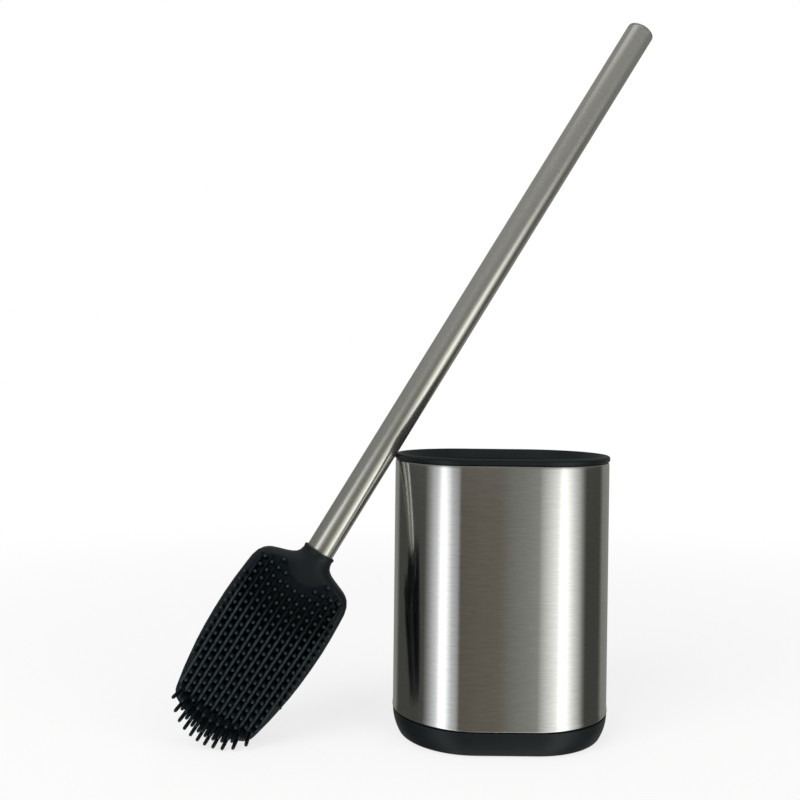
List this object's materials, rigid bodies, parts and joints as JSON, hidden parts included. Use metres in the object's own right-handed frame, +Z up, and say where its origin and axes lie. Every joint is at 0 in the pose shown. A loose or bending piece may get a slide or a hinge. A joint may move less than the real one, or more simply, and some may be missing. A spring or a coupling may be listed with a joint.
{
  "type": "toilet brush and holder",
  "caption": "Stadium-shaped brushed steel holder with a lift-out black liner and rubber-footed base, and a steel-handled paddle brush with nubbed faces leaning on its rim.",
  "frame": {"origin": "middle of the holder's base, on the floor that its rubber pad rests on", "axes": "+Z up, +X to the right along the holder's long side as seen in the picture, +Y to the back"},
  "size_m": [0.2335, 0.081, 0.3582],
  "materials": {
    "brushed_sleeve_steel": "brushed along the holder's width",
    "brushed_handle_steel": "brushed round the tube",
    "black_moulded_plastic": "satin moulded",
    "pad_rubber": "matt",
    "white_nylon": "moulded",
    "soft_black_head": "satin overmoulded",
    "nub_rubber": "satin moulded"
  },
  "bodies": {
    "holder": {"steel_sleeve": "brushed_sleeve_steel", "base_cup": "black_moulded_plastic", "non_slip_pad": "pad_rubber"},
    "liner": {"inner_liner": "black_moulded_plastic"},
    "brush": {"handle_tube": "brushed_handle_steel", "handle_end_cap": "brushed_handle_steel", "handle_spigot": "white_nylon", "head_frame": "soft_black_head", "front_nub_pad": "nub_rubber", "back_nub_pad": "nub_rubber"}
  },
  "joints": [
    {"name": "liner_lift", "type": "slide", "parent": "holder", "child": "liner", "axis": [0, 0, 1], "range_m": [0, 0.15]},
    {"name": "brush_lift", "type": "slide", "parent": "liner", "child": "brush", "axis": [-0.856, 0, 0.517], "range_m": [0, 0.25]}
  ]
}
